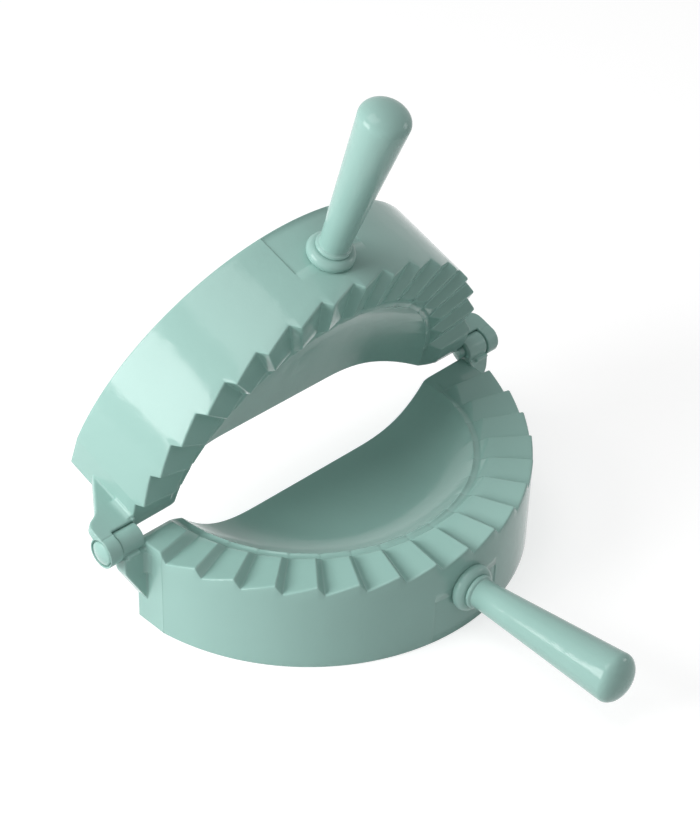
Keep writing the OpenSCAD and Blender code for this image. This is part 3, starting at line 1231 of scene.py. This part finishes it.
@dataclass(frozen=True)
class Patterns:
    """The shared node groups that every finish is made from."""

    cloud_low: float = 0.3
    cloud_high: float = 0.7
    tone_detail: float = 2.0
    relief_detail: float = 4.0

    def socket(self, tree: Tree, name: str, value: float = 0.0) -> None:
        """Add a number that goes into a node group, with its starting value."""
        made = tree.interface.new_socket(name, in_out="INPUT", socket_type="NodeSocketFloat")
        made.default_value = value

    def clouds(self) -> Tree:
        """Return the group that makes soft clouds over a piece, as a mask from 0 to 1."""
        tree = bpy.data.node_groups.new("soft_clouds", "ShaderNodeTree")
        self.socket(tree, "Scale")
        self.socket(tree, "Detail", self.tone_detail)
        tree.interface.new_socket("Mask", in_out="OUTPUT", socket_type="NodeSocketFloat")
        entry, leave = tree.nodes.new("NodeGroupInput"), tree.nodes.new("NodeGroupOutput")
        place = tree.nodes.new("ShaderNodeTexCoord")
        noise = tree.nodes.new("ShaderNodeTexNoise")
        contrast = tree.nodes.new("ShaderNodeMapRange")
        tune(contrast, {"From Min": self.cloud_low, "From Max": self.cloud_high})
        tree.links.new(place.outputs["Object"], noise.inputs["Vector"])
        tree.links.new(entry.outputs["Scale"], noise.inputs["Scale"])
        tree.links.new(entry.outputs["Detail"], noise.inputs["Detail"])
        tree.links.new(noise.outputs["Fac"], contrast.inputs["Value"])
        tree.links.new(contrast.outputs["Result"], leave.inputs["Mask"])
        return tree

    def relief(self, clouds: Tree) -> Tree:
        """Make the group of a moulded surface's waves and grain.

        Args:
            clouds: Group that puts out a mask of soft clouds.

        Returns:
            The group, which puts out a normal.
        """
        tree = bpy.data.node_groups.new("moulded_relief", "ShaderNodeTree")
        layers = ("Wave", "Grain")
        for layer in layers:
            self.socket(tree, f"{layer} Scale")
            self.socket(tree, f"{layer} Height")
        tree.interface.new_socket("Normal", in_out="OUTPUT", socket_type="NodeSocketVector")
        entry, leave = tree.nodes.new("NodeGroupInput"), tree.nodes.new("NodeGroupOutput")
        normal = None
        for layer in layers:
            mask = group_node(tree, clouds, {"Detail": self.relief_detail})
            bump = tree.nodes.new("ShaderNodeBump")
            tree.links.new(entry.outputs[f"{layer} Scale"], mask.inputs["Scale"])
            tree.links.new(mask.outputs["Mask"], bump.inputs["Height"])
            tree.links.new(entry.outputs[f"{layer} Height"], bump.inputs["Distance"])
            if normal:
                tree.links.new(normal, bump.inputs["Normal"])
            normal = bump.outputs["Normal"]
        tree.links.new(normal, leave.inputs["Normal"])
        return tree


@dataclass(frozen=True)
class Finish:
    """A procedural surface: two close tones, two roughnesses and a relief in metres."""

    name: str
    light: Spot
    dark: Spot
    smooth: float
    rough: float
    metallic: float = 0.0
    specular: float = 0.25
    coat: float = 0.0
    tone_scale: float = 14.0
    wave_scale: float = 45.0
    wave_height: float = 0.00016
    grain_scale: float = 420.0
    grain_height: float = 0.000012

    def material(self, clouds: Tree, relief: Tree) -> Material:
        """Return the material, made from the shared groups.

        Args:
            clouds: Group that puts out a mask of soft clouds.
            relief: Group that puts out the relief's normal.

        Returns:
            The material.
        """
        made = bpy.data.materials.new(self.name)
        made.use_nodes = True
        tree = made.node_tree
        shader = tune(tree.nodes["Principled BSDF"], {
            "Metallic": self.metallic,
            "Specular IOR Level": self.specular,
            "Coat Weight": self.coat,
            "Coat Roughness": self.smooth / 2,
        })
        mask = group_node(tree, clouds, {"Scale": self.tone_scale})
        tone = colour_mix(tree, self.dark, self.light)
        gloss = tree.nodes.new("ShaderNodeMapRange")
        tune(gloss, {"To Min": self.rough, "To Max": self.smooth})
        bumps = group_node(tree, relief, {
            "Wave Scale": self.wave_scale,
            "Wave Height": self.wave_height,
            "Grain Scale": self.grain_scale,
            "Grain Height": self.grain_height,
        })
        tree.links.new(mask.outputs["Mask"], tone.inputs["Factor"])
        tree.links.new(mask.outputs["Mask"], gloss.inputs["Value"])
        tree.links.new(tone.outputs["Result"], shader.inputs["Base Color"])
        tree.links.new(gloss.outputs["Result"], shader.inputs["Roughness"])
        tree.links.new(bumps.outputs["Normal"], shader.inputs["Normal"])
        return made


MINT = ((0.318, 0.512, 0.466), (0.298, 0.487, 0.44))
PIN_MINT = ((0.32, 0.53, 0.48), (0.3, 0.505, 0.453))
STEEL = ((0.62, 0.62, 0.6), (0.5, 0.5, 0.49))
FINISHES = (
    Finish("mint_plastic", *MINT, smooth=0.1, rough=0.15),
    Finish("handle_plastic", *MINT, smooth=0.09, rough=0.13, tone_scale=30.0),
    Finish("pin_plastic", *PIN_MINT, smooth=0.05, rough=0.09, coat=0.4, tone_scale=120.0, wave_scale=160.0),
    Finish("screw_steel", *STEEL, smooth=0.22, rough=0.34, metallic=1.0, tone_scale=300.0, wave_scale=250.0),
)


@dataclass(frozen=True)
class Lamp:
    """A square lamp, with its place and width in metres.

    The light share is how much it gives, at the object, of the light that shows
    a white surface at full brightness.
    """

    name: str
    place: Spot
    size: float
    light_share: float

    def build(self, aim: Vector) -> None:
        """Make the lamp.

        Args:
            aim: The place that it points at.
        """
        data = bpy.data.lights.new(self.name, "AREA")
        way = aim - Vector(self.place)
        data.energy, data.size = self.light_share * (math.pi * way.length) ** 2, self.size
        made = bpy.data.objects.new(self.name, data)
        made.location = self.place
        made.rotation_euler = way.to_track_quat("-Z", "Y").to_euler()
        bpy.context.scene.collection.objects.link(made)


LAMPS = (
    Lamp("left_window", (-0.95, 0.36, 0.5), size=0.6, light_share=0.9),
    Lamp("ceiling", (-0.35, 0.12, 1.1), size=0.6, light_share=0.28),
    Lamp("right_window", (0.84, -0.5, 0.4), size=0.3, light_share=0.08),
)


@dataclass(frozen=True)
class Studio:
    """Camera, world and floor, with the lamps set round the object's middle."""

    azimuth: float = -45.4
    elevation: float = 37.0
    roll: float = 1.95
    aim: Spot = (-0.0786, -0.0406, 0.1384)
    distance: float = 0.64
    lens: float = 97.25
    sensor: float = 36.0
    middle: Spot = (0.0, 0.0, 0.08)
    floor_size: float = 6.0
    paper_glow: float = 0.7
    paper_shadow: float = 0.46
    paper_bounce: float = 0.75
    ambient: float = 0.28

    def camera(self) -> None:
        """Make the camera at the photo's viewing angle."""
        data = bpy.data.cameras.new("camera")
        data.lens, data.sensor_width = self.lens, self.sensor
        made = bpy.data.objects.new("camera", data)
        bpy.context.scene.collection.objects.link(made)
        azimuth, elevation, roll = (math.radians(a) for a in (self.azimuth, self.elevation, self.roll))
        turn = Matrix.Rotation(azimuth, 4, "Z") @ Matrix.Rotation(math.pi / 2 - elevation, 4, "X")
        turn = turn @ Matrix.Rotation(roll, 4, "Z")
        back = turn.to_3x3() @ Vector((0, 0, 1))
        made.matrix_world = Matrix.Translation(Vector(self.aim) + back * self.distance) @ turn
        bpy.context.scene.camera = made

    def seen(self, tree: Tree) -> bpy.types.NodeSocket:
        """Make a mask of the rays that show the background as it is.

        Args:
            tree: Node tree of the floor's material or of the world.

        Returns:
            A socket that is 1 for camera, glossy and transmission rays.
        """
        path = tree.nodes.new("ShaderNodeLightPath")
        mask = path.outputs["Is Camera Ray"]
        for name in ("Is Glossy Ray", "Is Transmission Ray"):
            either = tree.nodes.new("ShaderNodeMath")
            either.operation = "MAXIMUM"
            tree.links.new(mask, either.inputs[0])
            tree.links.new(path.outputs[name], either.inputs[1])
            mask = either.outputs[0]
        return mask

    def shade(self, tree: Tree, seen: bpy.types.NodeSocket, greys: Point) -> bpy.types.NodeSocket:
        """Mix a grey that lights the object with one that shows as the background.

        Args:
            tree: Node tree of the floor's material or of the world.
            seen: Mask of the rays that show the background.
            greys: Grey for the rays that light the object, and for the others.

        Returns:
            The colour's socket.
        """
        both = colour_mix(tree, *((grey, grey, grey) for grey in greys))
        tree.links.new(seen, both.inputs["Factor"])
        return both.outputs["Result"]

    def world(self) -> None:
        """Make the pale surroundings."""
        made = bpy.data.worlds.new("surroundings")
        bpy.context.scene.world = made
        made.use_nodes = True
        tree = made.node_tree
        shade = self.shade(tree, self.seen(tree), (self.ambient, 1.0))
        tree.links.new(shade, tree.nodes["Background"].inputs["Color"])

    def floor(self) -> None:
        """Make the white floor, which keeps the object's shadow."""
        bm = bmesh.new()
        bmesh.ops.create_grid(bm, x_segments=1, y_segments=1, size=self.floor_size / 2)
        mesh = bpy.data.meshes.new("floor")
        bm.to_mesh(mesh)
        bm.free()
        made = bpy.data.objects.new("floor", mesh)
        bpy.context.scene.collection.objects.link(made)
        paper = bpy.data.materials.new("white_paper")
        paper.use_nodes = True
        tree = paper.node_tree
        shader = tree.nodes["Principled BSDF"]
        tune(shader, {"Roughness": 1.0, "Specular IOR Level": 0.0, "Emission Color": (1, 1, 1, 1)})
        seen = self.seen(tree)
        white = self.shade(tree, seen, (self.paper_bounce, self.paper_shadow))
        tree.links.new(white, shader.inputs["Base Color"])
        share = tree.nodes.new("ShaderNodeMath")
        share.operation = "MULTIPLY"
        share.inputs[1].default_value = self.paper_glow
        tree.links.new(seen, share.inputs[0])
        tree.links.new(share.outputs[0], shader.inputs["Emission Strength"])
        mesh.materials.append(paper)

    def build(self) -> None:
        """Make everything that isn't part of the object."""
        bpy.context.scene.view_settings.view_transform = "Standard"
        self.camera()
        for lamp in LAMPS:
            lamp.build(Vector(self.middle))
        self.world()
        self.floor()


def main() -> None:
    """Build the press and its surroundings, and report each piece."""
    logging.basicConfig(level=logging.INFO, format="%(message)s")
    Studio().build()
    placement, patterns = Placement(), Patterns()
    clouds = patterns.clouds()
    relief = patterns.relief(clouds)
    finishes = {finish.name: finish.material(clouds, relief) for finish in FINISHES}
    plastic = finishes["mint_plastic"]
    moulding, grip, hinge = Moulding(), Grip(), Hinge()
    for half in Half:
        place = placement.moulding(half)
        piece = dress(moulding.build(), f"{half.word}_moulding", place, plastic)
        hand_over(piece, half, "mint_plastic", f"{half.word}_shell")
        piece = dress(grip.collar(), f"{half.word}_collar", place @ grip.place(), plastic)
        hand_over(piece, half, "mint_plastic")
        piece = dress(grip.handle(), f"{half.word}_grip", place @ grip.place(), finishes["handle_plastic"])
        hand_over(piece, half, "handle_plastic", f"{half.word}_handle")
        for side in Side:
            bracket = hinge.lower() if half is Half.LOWER else hinge.upper()
            name = f"{half.word}_hinge_{side.name.lower()}"
            piece = dress(bracket, name, placement.matrix(half) @ side.matrix(), plastic)
            hand_over(piece, half, "mint_plastic")
    for side in Side:
        tail = hinge.size.tail_l if side is Side.RIGHT else -hinge.size.play
        word = side.name.lower()
        place = placement.matrix(Half.LOWER) @ side.matrix()
        piece = dress(hinge.pin(hinge.body.end_x - tail), f"{word}_pin", place, finishes["pin_plastic"])
        hand_over(piece, Half.LOWER, "pin_plastic", f"{word}_hinge_pin")
    for half in Half:
        node = frame["nodes"][f"{half.word}_handle_screw"]
        node.data.materials.clear()
        node.data.materials.append(finishes["screw_steel"])


if __name__ == "__main__":
    main()
